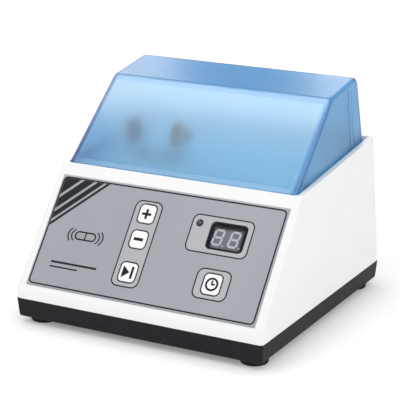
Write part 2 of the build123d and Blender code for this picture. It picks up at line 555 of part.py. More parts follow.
fan = fan - cx(SHAFT_R, 50, 70, MY, MZ)
put("cooling_fan", fan)
hub = Pos(ARM_X, MY, MZ) * Sphere(BALL_R) + cx(6.4, -54.5, -33, MY, MZ)
hub = hub - cx(SHAFT_R, -70, -20, MY, MZ)
put("swash_hub", hub)

# bracket and isolators
br = box(-27, 51, -20, 40, 15, 17) + box(-27, -24, -20, 40, 15, 84) + box(48, 51, -20, 40, 15, 84)
e = [x for x in br.edges() if abs(x.center().Z - 84) < 0.1 and x.length > 50]
for x0, x1 in ((-30, -20), (44, 54)):
    br = br - cx(15.0, x0, x1, MY, MZ)
    for sgn in (-1, 1):
        corner = prism_x([(MY + sgn * 31, 70), (MY + sgn * 31, 86), (MY + sgn * 14, 86)] if sgn < 0 else
                         [(MY + 31, 70), (MY + 14, 86), (MY + 31, 86)], x0, x1)
        br = br - corner
    for y, z in MS:
        br = br - cx(1.8, x0, x1, y, z)
br = br + box(-48.0, -26, ARM_Y - 1.5, ARM_Y + 1.5, 11.0, 17.0)
br = br - cy(1.7, ARM_Y - 5, ARM_Y + 5, ARM_X, 14.0)
for x, y in ISO:
    br = br - cz(3.2, 10, 20, x, y)
put("motor_bracket", br)
put("motor_screws", group([cx(3.2, -29.4, -27, y, z) + cx(1.48, -28, -19.2, y, z) for y, z in MS] +
                          [cx(3.2, 51, 53.4, y, z) + cx(1.48, 43.2, 52, y, z) for y, z in MS]))
iso = cz(6.5, 7.2, 15.0, 0, 0) + cz(3.1, 6.9, 18.0, 0, 0) + cz(5.5, 17.0, 19.6, 0, 0)
iso = iso + cz(4.4, 6.9, 7.5, 0, 0)
put("isolators", group([Pos(x, y, 0) * iso for x, y in ISO]))

# ================================================================= mixing arm
AX, AY, AZ = ARM_X, ARM_Y, ARM_Z
ring = cx(17.0, AX - 7, AX + 7, AY, AZ) - Pos(AX, AY, AZ) * Sphere(BALL_R + 0.3)
ears = box(AX - 5.5, AX + 5.5, AY - 24, AY + 24, AZ - 4.5, AZ + 4.5) - cx(15.0, AX - 8, AX + 8, AY, AZ)
full = ring + ears
upper = full & box(-100, 0, -50, 80, AZ, 200)
cap = full & box(-100, 0, -50, 80, 0, AZ - 0.4)
neck = prism_y([(AX - 7, AZ + 14), (AX + 7, AZ + 14), (AX + 5, AZ + 30), (AX + 5, 111), (AX - 5, 111), (AX - 5, AZ + 30)],
               AY - 4, AY + 4)
e = [x for x in neck.edges() if x.length > 20]
neck = try_fillet(neck, e, [1.5, 1.0])
PJX, PJZ = AX - 21.0, 112.2             # jaw pivot
beam = box(PJX + 5.2, AX + 25.5, AY - 6.8, AY + 6.8, 109.6, 114.6)
e = [x for x in beam.edges() if x.length > 30]
beam = try_fillet(beam, e, [1.6, 1.0])
lugs = None
for y0 in (AY - 6.8, AY + 4.4):
    l = cy(2.6, y0, y0 + 2.4, PJX, PJZ) + box(PJX, PJX + 6.5, y0, y0 + 2.4, PJZ - 2.6, PJZ + 2.4)
    lugs = l if lugs is None else lugs + l
arm = upper + neck + beam + lugs
arm = arm - cy(1.5, AY - 8, AY + 8, PJX, PJZ)
# post of the fixed jaw
arm = arm + box(AX + 21.5, AX + 25.5, AY - 5.0, AY + 5.0, 112.0, SEAT_Z) + cx(5.0, AX + 21.5, AX + 25.5, AY, SEAT_Z)
arm = arm - cx(2.0, AX + 15, AX + 30, AY, SEAT_Z)
for sgn in (-1, 1):
    arm = arm - cz(1.3, AZ - 1, AZ + 4.0, AX, AY + sgn * 20)
    cap = cap - cz(1.7, AZ - 10, AZ + 1, AX, AY + sgn * 20)
tail = box(AX - 4, AX + 4, AY - 1.5, AY + 1.5, AZ - 25.0, AZ - 15.5)
tail = tail - cy(1.7, AY - 4, AY + 4, AX, AZ - 21.5)
cap = cap + tail
put("mixing_arm", arm)
put("arm_cap", cap)
put("arm_cap_screws", group([cz(2.8, AZ - 7.0, AZ - 4.5, AX, AY + s * 20) + cz(1.25, AZ - 5, AZ + 3.8, AX, AY + s * 20)
                             for s in (-1, 1)]))


def cup(x_face, x_back, stub):
    """Round jaw pad with a conical seat in its face."""
    lo, hi = sorted((x_face, x_back))
    c = cx(9.0, lo, hi, AY, SEAT_Z)
    sgn = 1 if x_back > x_face else -1
    c = fillet(c.edges().filter_by(GeomType.CIRCLE), 1.0)
    cone = Pos(x_face + sgn * 1.7, AY, SEAT_Z) * Rot(0, sgn * 90, 0) * Cone(6.6, 4.2, 3.6)
    return c - cone


FJX = AX + 16.0                     # face of the fixed jaw pad
MJX = AX - 16.0                     # face of the moving jaw pad
fj = cup(FJX, FJX + 5.5, 0) + cx(1.95, FJX + 4.6, FJX + 10.0, AY, SEAT_Z) + cx(4.2, FJX + 9.5, FJX + 12.0, AY, SEAT_Z)
put("fixed_jaw", fj)

lever = None
for y0 in (AY - 4.1, AY + 1.7):
    l = cy(2.6, y0, y0 + 2.4, PJX, PJZ) + prism_y([(PJX - 2.5, PJZ), (PJX - 0.2, PJZ + 1.5), (MJX - 5.7, 115.0), (MJX - 5.7, 119.0),
                                                   (MJX - 8.7, 119.0), (MJX - 8.7, 116.0)], y0, y0 + 2.4)
    lever = l if lever is None else lever + l
plate = prism_y([(MJX - 5.7, 117.5), (MJX - 5.7, 132.5), (MJX - 7.6, 135.2), (MJX - 10.8, 136.2), (MJX - 8.7, 131.0),
                 (MJX - 8.7, 117.5)], AY - 5.0, AY + 5.0)
lever = lever + plate
lever = lever - cy(1.56, AY - 8, AY + 8, PJX, PJZ)
lever = lever - cx(2.0, MJX - 12, MJX, AY, SEAT_Z)
put("moving_jaw", lever)
mj = cup(MJX, MJX - 5.5, 0) + cx(1.95, MJX - 9.2, MJX - 4.6, AY, SEAT_Z) + cx(4.2, MJX - 11.0, MJX - 8.75, AY, SEAT_Z)
put("moving_jaw_pad", mj)
put("jaw_pin", cy(1.49, AY - 7.4, AY + 7.4, PJX, PJZ))
# torsion spring between the two tabs of the jaw
w = 0.45
n = 3
ys = AY - w * n
sp = None
for i in range(n):
    y = AY - w * (n - 1) + i * 2 * w
    tor = Pos(PJX, y, PJZ) * Rot(90, 0, 0) * Torus(2.2, w)
    tub = cy(2.55, AY - w * (n - 1) - 0.1, AY + w * (n - 1) + 0.1, PJX, PJZ) - cy(1.9, AY - 5, AY + 5, PJX, PJZ)
    sp = tor + tub if sp is None else sp + tor
put("jaw_spring", sp)

# anchor spring that keeps the arm from turning with the shaft
z_top_eye = AZ - 21.5 - 3.0
z_low_eye = 14.0 + 3.0
z0, z1 = z_low_eye + 3.4, z_top_eye - 3.4
aspr = cz(3.5, z0, z1, AX, AY) - cz(2.6, z0 - 1, z1 + 1, AX, AY)
k = int((z1 - z0) / 1.3)
for i in range(k + 1):
    z = z0 + 0.4 + i * (z1 - z0 - 0.8) / k
    aspr = aspr + Pos(AX, AY, z) * Torus(3.3, 0.6)
aspr = aspr + cz(3.5, z0, z0 + 0.9, AX, AY) + cz(3.5, z1 - 0.9, z1, AX, AY)
for zc in (z_top_eye, z_low_eye):
    aspr = aspr + Pos(AX, AY, zc) * Rot(0, 90, 0) * Torus(3.0, 0.6)
put("anchor_spring", aspr)

# ================================================================= power board and mains parts
put("power_board", box(58, 92, -62, 56, 13.0, 14.6) - cz(1.6, 10, 20, 62, -58) - cz(1.6, 10, 20, 88, -58) -
    cz(1.6, 10, 20, 62, 52) - cz(1.6, 10, 20, 88, 52))
put("transformer", box(64, 90, -44, -12, 14.6, 42.0) - box(60, 95, -44.1, -41, 32, 50) - box(60, 95, -15, -11.9, 32, 50))
hs = box(70, 92, 14, 16.4, 14.6, 44.0)
for i in range(5):
    x = 71 + i * 4.6
    hs = hs + box(x, x + 1.4, 16.4, 26.0, 14.6, 44.0)
put("heat_sink", hs)
power_parts = [box(76, 86, 9.4, 14, 17.0, 32.0)]      # triac on the heat sink
cap2 = box(62, 80, -6, 4, 14.6, 30.0)
cap2 = try_fillet(cap2, cap2.edges().group_by(Axis.Z)[-1], [1.0])
power_parts.append(cap2)
choke = cz(7.0, 14.6, 34.0, 66.5, 33) - cz(2.2, 30, 40, 66.5, 33)
power_parts.append(choke)
put("power_parts", group(power_parts))

IX, IU = INLET
sock = rbox(IX - 13.6, IX + 13.6, IU - 16.6, IU + 16.6, -26, 0) + rslab(rrect(IX - 17.5, IX + 17.5, IU - 19.5, IU + 19.5, 2.5), 0, 2.0)
rec = rslab(rrect(IX - 12.2, IX + 12.2, IU - 14.4, IU + 1.8, 1.5), -16.0, 4)
for sgn in (-1, 1):
    pass
sock = sock - rec
sock = sock - rbox(IX - 11.6, IX + 11.6, IU + 5.0, IU + 14.4, -22, 4)
put("inlet_socket", sock)
pin_items = []
for dx, du in ((-7.0, -8.0), (7.0, -8.0), (0.0, -4.0)):
    pin_items.append(rbox(IX + dx - 1.0, IX + dx + 1.0, IU + du - 2.0, IU + du + 2.0, -16.0, -2.5))
    pin_items.append(rbox(IX + dx - 2.4, IX + dx + 2.4, IU + du - 0.4, IU + du + 0.4, -33.0, -26.0))
put("inlet_pins", group(pin_items))
fd = rbox(IX - 11.4, IX + 11.4, IU + 5.2, IU + 14.2, -21.0, 1.2) + rslab(rrect(IX - 12.2, IX + 12.2, IU + 4.4, IU + 15.0, 1.0), 2.1, 3.4)
fd = fd + rbox(IX - 11.0, IX + 11.0, IU + 5.6, IU + 13.8, 1.0, 2.4)
fd = fd - rbox(IX - 9.6, IX + 9.6, IU + 6.8, IU + 14.5, -19.0, -1.0) - rbox(IX - 3, IX + 3, IU + 14.0, IU + 16, 0.5, 5)
fuse = REAR * Pos(IX, IU + 10.0, -10.0) * Rot(0, 90, 0) * Cylinder(2.6, 18.8)
put("fuse_drawer", group([fd, fuse]))

RX, RU = ROCK
rh = rbox(RX - 6.4, RX + 6.4, RU - 9.6, RU + 9.6, -18, 0) + rslab(rrect(RX - 7.6, RX + 7.6, RU - 10.6, RU + 10.6, 1.2), 0, 1.6)
rh = rh - rbox(RX - 4.6, RX + 4.6, RU - 7.9, RU + 7.9, -8.5, 5)
rh = rh - REAR * cx(1.05, RX - 6.0, RX + 6.0, RU, -1.5)
put("rocker_housing", rh)
# paddle in the off position: its lower end stands out
pad = []
a0 = math.radians(9)
RK = REAR * Pos(RX, RU, -1.5) * Rot(9, 0, 0)
paddle = RK * (box(-4.3, 4.3, -7.0, 7.0, -2.2, 2.6) - Pos(0, 0, 15.2) * Rot(0, 90, 0) * Cylinder(13.4, 12) )
paddle = paddle + REAR * cx(1.0, RX - 5.9, RX + 5.9, RU, -1.5)
put("power_rocker", paddle)


# ================================================================= wiring held inside
def wire(pts, r, bend):
    radii = [bend] * (len(pts) - 2)
    path = FilletPolyline(*pts, radius=bend)
    start = path @ 0
    tang = path % 0
    sec = Plane(origin=start, z_dir=tang) * Circle(r)
    return sweep(sec, path=path)


def rp(x, u, n):
    v = (REAR * Pos(x, u, n)).position
    return (v.X, v.Y, v.Z)


leads = []
for i, (dx, du) in enumerate(((-7.0, -8.0), (7.0, -8.0))):
    a = rp(IX + dx, IU + du, -33.0)
    b = rp(IX + dx, IU + du, -42.0)
    leads.append(wire([a, b, (b[0], 48.0, 40.0), (b[0], 48.0, 15.0)], 1.1, 4.0))
mleads = leads
for sgn, xx in ((-1, 56.0), (1, 58.5)):
    y = MY + sgn * 34.0
    if sgn < 0:
        mleads.append(wire([(30.0, y, MZ), (30.0, y - 8, MZ), (34.0, y - 9, 22.0), (60.0, y - 9, 22.0), (60.0, y - 9, 14.7)], 0.9, 3.0))
    else:
        mleads.append(wire([(30.0, y, MZ), (30.0, y + 6, MZ), (34.0, y + 6, 22.0), (60.5, y + 6, 22.0), (60.5, y + 6, 14.7)], 0.9, 2.5))
put("internal_leads", group(mleads))
# ---------------------------------------------------------------- write
for name, shape in NODES.items():
    if isinstance(shape, ShapeList):
        shape = Compound(children=list(shape))
    shape.label = name
    export_step(shape, f"parts/{name}.step")
print(len(NODES), "nodes written")
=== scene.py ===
import bpy, bmesh, math
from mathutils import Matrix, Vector
from mathutils.geometry import tessellate_polygon


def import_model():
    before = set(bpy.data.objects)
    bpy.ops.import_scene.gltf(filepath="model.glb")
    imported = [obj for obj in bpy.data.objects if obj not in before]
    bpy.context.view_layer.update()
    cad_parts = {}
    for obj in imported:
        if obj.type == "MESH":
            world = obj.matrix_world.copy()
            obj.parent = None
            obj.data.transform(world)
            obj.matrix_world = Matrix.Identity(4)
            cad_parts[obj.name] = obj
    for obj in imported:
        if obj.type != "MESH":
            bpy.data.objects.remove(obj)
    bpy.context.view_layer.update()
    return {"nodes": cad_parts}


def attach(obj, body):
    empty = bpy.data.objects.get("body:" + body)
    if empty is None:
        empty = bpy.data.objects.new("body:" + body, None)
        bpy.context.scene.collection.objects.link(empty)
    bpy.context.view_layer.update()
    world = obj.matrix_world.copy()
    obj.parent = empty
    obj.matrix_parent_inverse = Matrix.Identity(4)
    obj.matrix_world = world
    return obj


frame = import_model()
NODE = frame["nodes"]

# ------------------------------------------------------------------ view
# The colours are shown plainly, so that white plastic stays white.
scene = bpy.context.scene
scene.view_settings.view_transform = "Standard"
scene.view_settings.look = "None"
scene.view_settings.exposure = 0.0
scene.view_settings.gamma = 1.0
try:
    scene.cycles.max_bounces = 16
    scene.cycles.transmission_bounces = 12
    scene.cycles.transparent_max_bounces = 12
    scene.cycles.use_denoising = True
    scene.cycles.sample_clamp_indirect = 6.0
except Exception:
    pass

cam = bpy.data.cameras.new("camera")
cam.sensor_width = 36.0
cam.lens = 141.86
cam.clip_start, cam.clip_end = 0.05, 50.0
cam_o = bpy.data.objects.new("camera", cam)
scene.collection.objects.link(cam_o)
eye, aim = Vector((0.53021, -0.98709, 0.41880)), Vector((-0.0030, 0.0003, 0.0800))
cam_o.location = eye
cam_o.rotation_mode = "QUATERNION"
cam_o.rotation_quaternion = (aim - eye).to_track_quat("-Z", "Y")
scene.camera = cam_o

# ------------------------------------------------------------------ the sloped face's own frame, in metres
FT, SK, HD = (-0.039, 0.107), 0.027, 0.102
_l = math.hypot(FT[0] + HD, FT[1] - SK)
SY, SZ = (FT[0] + HD) / _l, (FT[1] - SK) / _l
FX, FS, FN = Vector((1, 0, 0)), Vector((0, SY, SZ)), Vector((0, -SZ, SY))
F0 = Vector((0, -HD, SK))


def face(x, s, n):
    """A point of the sloped face: x across, s up the slope, n out of it, in millimetres."""
    return F0 + FX * (x / 1000) + FS * (s / 1000) + FN * (n / 1000)


_r = math.hypot(0.102 - 0.090, 0.121 - 0.020)
RZ, RY = (0.121 - 0.020) / _r, (0.102 - 0.090) / _r
R0 = Vector((0, 0.102, 0.020))


def rear(x, u, n):
    return R0 + Vector((-1, 0, 0)) * (x / 1000) + Vector((0, -RY, RZ)) * (u / 1000) + Vector((0, RZ, RY)) * (n / 1000)


# ------------------------------------------------------------------ materials
def new_mat(name):
    m = bpy.data.materials.new(name)
    m.use_nodes = True
    nt = m.node_tree
    b = nt.nodes["Principled BSDF"]
    return m, nt, b


def coords(nt):
    t = nt.nodes.new("ShaderNodeTexCoord")
    return t.outputs["Object"]


def noise(nt, scale, detail=3.0, rough=0.55, dist=0.0, vec=None):
    n = nt.nodes.new("ShaderNodeTexNoise")
    n.inputs["Scale"].default_value = scale
    n.inputs["Detail"].default_value = detail
    n.inputs["Roughness"].default_value = rough
    n.inputs["Distortion"].default_value = dist
    nt.links.new(vec if vec is not None else coords(nt), n.inputs["Vector"])
    return n.outputs["Fac"]


def stretch(nt, scale, rot=(0, 0, 0)):
    mp = nt.nodes.new("ShaderNodeMapping")
    mp.inputs["Scale"].default_value = scale
    mp.inputs["Rotation"].default_value = rot
    nt.links.new(coords(nt), mp.inputs["Vector"])
    return mp.outputs["Vector"]


def span(nt, fac, lo, hi, a=0.0, b=1.0, smooth=False):
    m = nt.nodes.new("ShaderNodeMapRange")
    if smooth:
        m.interpolation_type = "SMOOTHSTEP"
    m.inputs["From Min"].default_value = a
    m.inputs["From Max"].default_value = b
    m.inputs["To Min"].default_value = lo
    m.inputs["To Max"].default_value = hi
    nt.links.new(fac, m.inputs["Value"])
    return m.outputs["Result"]


def ramp(nt, fac, stops):
    r = nt.nodes.new("ShaderNodeValToRGB")
    e = r.color_ramp.elements
    while len(e) < len(stops):
        e.new(0.5)
    for el, (p, c) in zip(e, stops):
        el.position = p
        el.color = (*c, 1.0)
    nt.links.new(fac, r.inputs["Fac"])
    return r.outputs["Color"]


def maths(nt, op, a, b=None):
    m = nt.nodes.new("ShaderNodeMath")
    m.operation = op
    for i, v in enumerate((a, b)):
        if v is None:
            continue
        if isinstance(v, (int, float)):
            m.inputs[i].default_value = v
        else:
            nt.links.new(v, m.inputs[i])
    return m.outputs[0]


def along(nt, axis, off=0.0):
    """Distance in millimetres along a fixed direction of the object's own frame."""
    d = nt.nodes.new("ShaderNodeVectorMath")
    d.operation = "DOT_PRODUCT"
    nt.links.new(coords(nt), d.inputs[0])
    d.inputs[1].default_value = tuple(v * 1000 for v in axis)
    return maths(nt, "ADD", d.outputs["Value"], off)


def mix(nt, fac, a, b, mode="MIX"):
    m = nt.nodes.new("ShaderNodeMix")
    m.data_type = "RGBA"
    m.blend_type = mode
    for sock, v in ((m.inputs[0], fac), (m.inputs[6], a), (m.inputs[7], b)):
        if isinstance(v, (int, float)):
            sock.default_value = v
        elif isinstance(v, tuple):
            sock.default_value = (*v, 1.0)
        else:
            nt.links.new(v, sock)
    return m.outputs[2]


def bump(nt, b, height, strength, dist=0.0002, chain=None):
    n = nt.nodes.new("ShaderNodeBump")
    n.inputs["Strength"].default_value = strength
    n.inputs["Distance"].default_value = dist
    nt.links.new(height, n.inputs["Height"])
    if chain is not None:
        nt.links.new(chain, n.inputs["Normal"])
    nt.links.new(n.outputs["Normal"], b.inputs["Normal"])
    return n.outputs["Normal"]


def plastic(name, rgb, vary=0.03, rough=(0.38, 0.48), grain=2400.0, grain_s=0.06, spec=0.5, coat=0.0, mottle=55.0):
    """Moulded plastic: faint cloudiness, a fine spark-eroded grain and uneven gloss."""
    m, nt, b = new_mat(name)
    lo = tuple(max(0.0, c * (1 - vary)) for c in rgb)
    hi = tuple(min(1.0, c * (1 + vary)) for c in rgb)
    nt.links.new(ramp(nt, noise(nt, mottle, 4), [(0.3, lo), (0.7, hi)]), b.inputs["Base Color"])
    nt.links.new(span(nt, noise(nt, mottle * 2.3, 3), rough[0], rough[1], 0.3, 0.7), b.inputs["Roughness"])
    bump(nt, b, noise(nt, grain, 2), grain_s, 0.0001)
    b.inputs["Specular IOR Level"].default_value = spec
    b.inputs["Coat Weight"].default_value = coat
    b.inputs["Coat Roughness"].default_value = 0.15
    return m


def metal(name, rgb, rough=(0.22, 0.36), brush=(900.0, 40.0, 40.0), s=0.08):
    """Metal with fine tool marks along one direction and a little tarnish."""
    m, nt, b = new_mat(name)
    marks = noise(nt, 6.0, 4.0, vec=stretch(nt, brush))
    lo = tuple(c * 0.86 for c in rgb)
    nt.links.new(ramp(nt, noise(nt, 90, 5), [(0.3, lo), (0.65, rgb)]), b.inputs["Base Color"])
    nt.links.new(span(nt, marks, rough[0], rough[1], 0.3, 0.7), b.inputs["Roughness"])
    bump(nt, b, marks, s, 0.0001)
    b.inputs["Metallic"].default_value = 1.0
    return m


M = {}
M["white"] = plastic("white_housing", (0.865, 0.868, 0.872), vary=0.010, rough=(0.34, 0.42), grain=3200, grain_s=0.05)
M["deck"] = plastic("deck_white", (0.86, 0.885, 0.91), vary=0.02, rough=(0.42, 0.5), grain=2600, grain_s=0.05)
M["black"] = plastic("tray_black", (0.0055, 0.0062, 0.0090), vary=0.16, rough=(0.50, 0.62), grain=1500, grain_s=0.30, mottle=120, spec=0.22)
M["rubber"] = plastic("foot_rubber", (0.010, 0.010, 0.011), vary=0.2, rough=(0.62, 0.78), grain=900, grain_s=0.25, mottle=200, spec=0.2)
M["ink"] = plastic("ink_black", (0.006, 0.006, 0.009), vary=0.2, rough=(0.5, 0.6), grain=5200, grain_s=0.08, mottle=500, spec=0.2)
M["ink_slate"] = plastic("ink_slate", (0.010, 0.011, 0.015), vary=0.15, rough=(0.5, 0.6), grain=5200, grain_s=0.08, mottle=500, spec=0.2)
M["key"] = plastic("key_white", (0.90, 0.90, 0.90), vary=0.012, rough=(0.33, 0.4), grain=4000, grain_s=0.04)
M["bezel"] = plastic("dark_moulding", (0.018, 0.018, 0.020), vary=0.15, rough=(0.35, 0.45), grain=2400, grain_s=0.10)
M["jaw_blue"] = plastic("jaw_blue", (0.012, 0.10, 0.24), vary=0.12, rough=(0.4, 0.5), grain=1800, grain_s=0.15)
M["jaw"] = plastic("jaw_black", (0.006, 0.016, 0.030), vary=0.15, rough=(0.4, 0.5), grain=1800, grain_s=0.15)
M["mask"] = plastic("window_mask", (0.012, 0.013, 0.017), vary=0.1, rough=(0.6, 0.7), grain=3000, grain_s=0.03, mottle=400, spec=0.1)
M["segment"] = plastic("digit_diffuser", (0.56, 0.565, 0.60), vary=0.03, rough=(0.6, 0.7), grain=3000, grain_s=0.04, mottle=600, spec=0.15)
M["board"] = plastic("board_green", (0.02, 0.13, 0.06), vary=0.12, rough=(0.3, 0.4), grain=900, grain_s=0.1, mottle=300)
M["steel"] = metal("zinc_steel", (0.56, 0.57, 0.58))
M["bright"] = metal("ground_steel", (0.72, 0.72, 0.73), rough=(0.12, 0.22), s=0.03)
M["alloy"] = metal("cast_alloy", (0.60, 0.61, 0.63), rough=(0.32, 0.48), brush=(300, 300, 300), s=0.15)
M["iron"] = metal("core_iron", (0.16, 0.16, 0.17), rough=(0.45, 0.6), brush=(40, 900, 40))
M["brass"] = metal("brass", (0.72, 0.52, 0.22))
M["copper"] = metal("copper_wire", (0.62, 0.26, 0.12), brush=(1600, 60, 60), s=0.3)
M["carbon"] = plastic("carbon", (0.03, 0.03, 0.032), rough=(0.5, 0.6), grain=800, grain_s=0.2)
M["jacket"] = plastic("lead_jacket", (0.05, 0.05, 0.22), vary=0.05, rough=(0.35, 0.45), grain=1500, grain_s=0.05)
M["fork"] = plastic("fork_coating", (0.74, 0.78, 0.82), vary=0.04, rough=(0.42, 0.55), grain=1400, grain_s=0.2, mottle=160)


def film(name, rgb, gain=1.0):
    """Printed film: a silver-grey ink with a fine flake, a soft painted sheen across it and a matt hard coat."""
    m, nt, b = new_mat(name)
    c = tuple(v * gain for v in rgb)
    flake = ramp(nt, noise(nt, 2300, 2), [(0.25, tuple(v * 0.955 for v in c)), (0.75, tuple(min(1, v * 1.045) for v in c))])
    # painted sheen: streaks of slightly lighter and darker tone across the film
    band = span(nt, noise(nt, 1.0, 2, vec=stretch(nt, (24, 3, 3))), 0.965, 1.035, 0.3, 0.7)
    g = nt.nodes.new("ShaderNodeCombineColor")
    for k_ in ("Red", "Green", "Blue"):
        nt.links.new(band, g.inputs[k_])
    nt.links.new(mix(nt, 1.0, flake, g.outputs["Color"], "MULTIPLY"), b.inputs["Base Color"])
    nt.links.new(span(nt, noise(nt, 400, 2), 0.42, 0.50, 0.3, 0.7), b.inputs["Roughness"])
    bump(nt, b, noise(nt, 5200, 2), 0.10, 0.0001)
    b.inputs["Specular IOR Level"].default_value = 0.35
    return m


M["panel"] = film("panel_film", (0.343, 0.359, 0.391))
M["panel_light"] = film("panel_tint", (0.425, 0.435, 0.455))
# a paler grey for the film's rim, a painted highlight of its bevel; no part is given it
M["panel_edge"] = film("panel_edge", (0.40, 0.41, 0.425))


def frosted_blue():
    """Tinted plastic with an etched surface: shapes behind it blur with distance. Light and shade are painted into its
    colour:
    a deeper tint where the side, top and rear walls are met edge on, darker side walls, a darker lower-left corner and
    middle of the top as painted shade, a painted shadow line along the foot of the front, paler towards the top of the
    front as painted sheen, and painted highlights on the lip and inside the front edges."""
    m, nt, b = new_mat("frosted_blue")
    x = along(nt, (1, 0, 0))
    side = maths(nt, "ADD", maths(nt, "ABSOLUTE", x), along(nt, (0, 0, 0.046), -93.42 - 107 * 0.046))
    above = along(nt, (0, -0.1631, 0.9866), -156.51)
    rear_ = along(nt, (0, 0.9857, 0.1688), -100.18)
    up = along(nt, (0, 0.7462, 0.6657), 38.85 * 0.7462 - 107.38 * 0.6657)
    front = span(nt, along(nt, (0, -0.6657, 0.7462), -105.03), 0.0, 1.0, -3.6, -3.0, smooth=True)
    flank_painted_shade = span(nt, side, 0.0, 1.0, -2.6, -1.6, smooth=True)
    roof = span(nt, above, 0.0, 1.0, -1.8, -0.8, smooth=True)
    # painted sheen: the front is paler towards the top, with random mottle laid over it below
    plain = ramp(nt, span(nt, up, 0.0, 1.0, 0.0, 78.0),
                 [(0.0, (0.50, 0.76, 0.86)), (0.35, (0.50, 0.76, 0.86)), (0.62, (0.62, 0.82, 0.87)), (0.9, (0.80, 0.90, 0.90))])
    mottle_and_painted_light = mix(nt, span(nt, noise(nt, 14, 3), 0.0, 0.25, 0.35, 0.7), plain, (0.62, 0.84, 0.95))
    # painted shade: a deeper blue in the lower left of the front
    corner = maths(nt, "MULTIPLY", span(nt, x, 0.0, 0.55, -45.0, -92.0, smooth=True), span(nt, up, 1.0, 0.0, 10.0, 62.0, smooth=True))
    mottle_and_painted_light = mix(nt, corner, mottle_and_painted_light, (0.22, 0.60, 0.85))
    # painted shade: the top is deeper blue in its middle and paler towards its sides
    roof_painted_shade = mix(nt, span(nt, maths(nt, "ABSOLUTE", maths(nt, "ADD", x, along(nt, (0, 0, 0), 3.0))), 0.0, 1.0, 22.0, 75.0, smooth=True),
                  (0.12, 0.62, 0.92), (0.34, 0.73, 0.92))
    c = mix(nt, roof, mottle_and_painted_light, roof_painted_shade)
    # painted shade: the side walls are tinted deeper
    c = mix(nt, flank_painted_shade, c, (0.34, 0.68, 0.86))
    # painted highlight: a pale band along the lip at the foot of the front
    lip_painted_highlight = maths(nt, "MULTIPLY", span(nt, up, 1.0, 0.0, 4.6, 5.4, smooth=True), front)
    c = mix(nt, lip_painted_highlight, c, (0.97, 0.985, 0.99))
    # painted shade: a darker line just above the lip
    lip_painted_shade_line = maths(nt, "MULTIPLY", maths(nt, "MULTIPLY", span(nt, up, 0.0, 1.0, 4.9, 5.5, smooth=True), span(nt, up, 1.0, 0.0, 6.2, 7.4, smooth=True)), front)
    c = mix(nt, maths(nt, "MULTIPLY", lip_painted_shade_line, 0.6), c, (0.30, 0.62, 0.85))
    # painted highlight: a light line inside the darker edge band of the front slope
    pale = maths(nt, "MULTIPLY", maths(nt, "MULTIPLY", span(nt, side, 0.0, 1.0, -6.4, -5.6, smooth=True), span(nt, side, 1.0, 0.0, -5.2, -4.4, smooth=True)), front)
    c = mix(nt, maths(nt, "MULTIPLY", pale, 0.6), c, (0.86, 0.95, 0.98))
    # painted shade: a deeper tint along the front slope's side edges, below the top edge and on the rear wall, where
    # the walls are met edge on, and a painted shadow line along the foot of the front
    edge = maths(nt, "MULTIPLY", span(nt, side, 0.0, 1.0, -5.0, -4.2, smooth=True), front)
    sill = maths(nt, "MULTIPLY", span(nt, above, 0.0, 1.0, -3.2, -2.6, smooth=True), span(nt, above, 1.0, 0.0, -1.2, -0.5, smooth=True))
    back = span(nt, rear_, 0.0, 1.0, -3.2, -1.8, smooth=True)
    foot = maths(nt, "MULTIPLY", span(nt, up, 1.0, 0.0, 0.1, 0.9, smooth=True), front)
    edge_on_painted_shade = maths(nt, "MAXIMUM", maths(nt, "MAXIMUM", edge, maths(nt, "MULTIPLY", sill, 0.8)), maths(nt, "MAXIMUM", back, foot))
    c = mix(nt, maths(nt, "MULTIPLY", edge_on_painted_shade, 0.92), c, (0.10, 0.47, 0.80))
    nt.links.new(c, b.inputs["Base Color"])
    nt.links.new(span(nt, noise(nt, 60, 3), 0.36, 0.41, 0.3, 0.7), b.inputs["Roughness"])
    bump(nt, b, noise(nt, 2600, 2), 0.08, 0.0001)
    b.inputs["Transmission Weight"].default_value = 0.98
    b.inputs["IOR"].default_value = 1.40
    b.inputs["Coat Weight"].default_value = 0.4
    b.inputs["Coat Roughness"].default_value = 0.20
    ab = nt.nodes.new("ShaderNodeVolumeAbsorption")
    ab.inputs["Color"].default_value = (0.10, 0.62, 0.95, 1)
    ab.inputs["Density"].default_value = 95.0
    nt.links.new(ab.outputs[0], nt.nodes["Material Output"].inputs["Volume"])
    return m


def smoked():
    m, nt, b = new_mat("smoked_window")
    nt.links.new(ramp(nt, noise(nt, 60, 2), [(0.3, (0.88, 0.88, 0.90)), (0.7, (0.91, 0.91, 0.93))]), b.inputs["Base Color"])
    nt.links.new(span(nt, noise(nt, 120, 2), 0.05, 0.07, 0.3, 0.7), b.inputs["Roughness"])
    bump(nt, b, noise(nt, 300, 2), 0.01, 0.0001)
    b.inputs["Transmission Weight"].default_value = 1.0
    b.inputs["IOR"].default_value = 1.10
    return m


